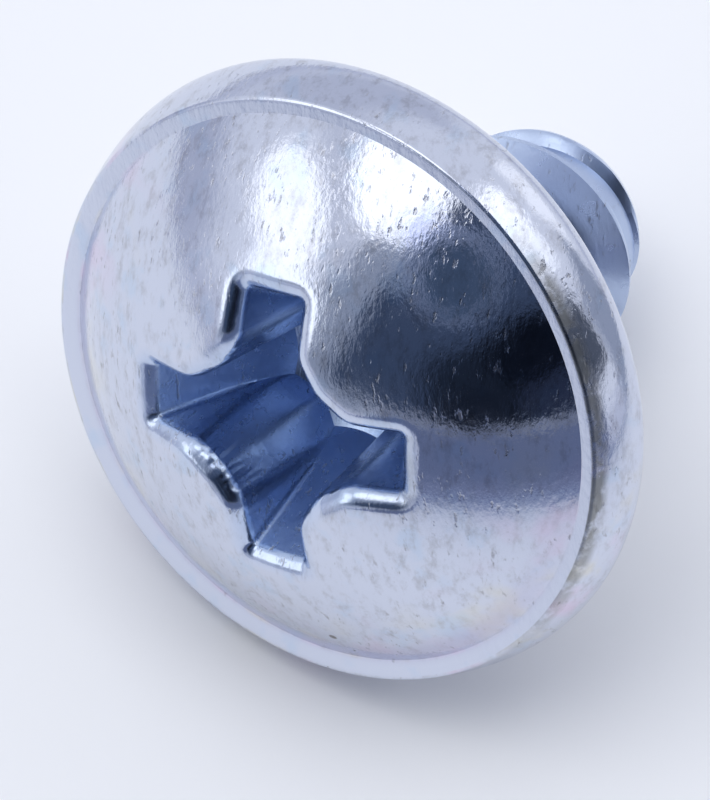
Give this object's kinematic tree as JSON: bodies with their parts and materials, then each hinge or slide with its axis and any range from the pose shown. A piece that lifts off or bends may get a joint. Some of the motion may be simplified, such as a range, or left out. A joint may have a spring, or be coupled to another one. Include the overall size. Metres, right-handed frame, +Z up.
{
  "type": "screw",
  "caption": "Short blunt-ended tapping screw with a wide collar, a domed head and a cross recess, lying on its rim and tip.",
  "frame": {"origin": "middle of the bounding box's bottom, on the surface the screw lies on", "axes": "+Z up; the screw's axis lies in the XZ plane, with the head toward -X and the tip toward +X, tilted down by 29.0 degrees"},
  "size_m": [0.0094, 0.01, 0.009],
  "materials": {
    "zinc_steel": "gloss"
  },
  "bodies": {
    "root": {"screw": "zinc_steel"}
  },
  "joints": []
}
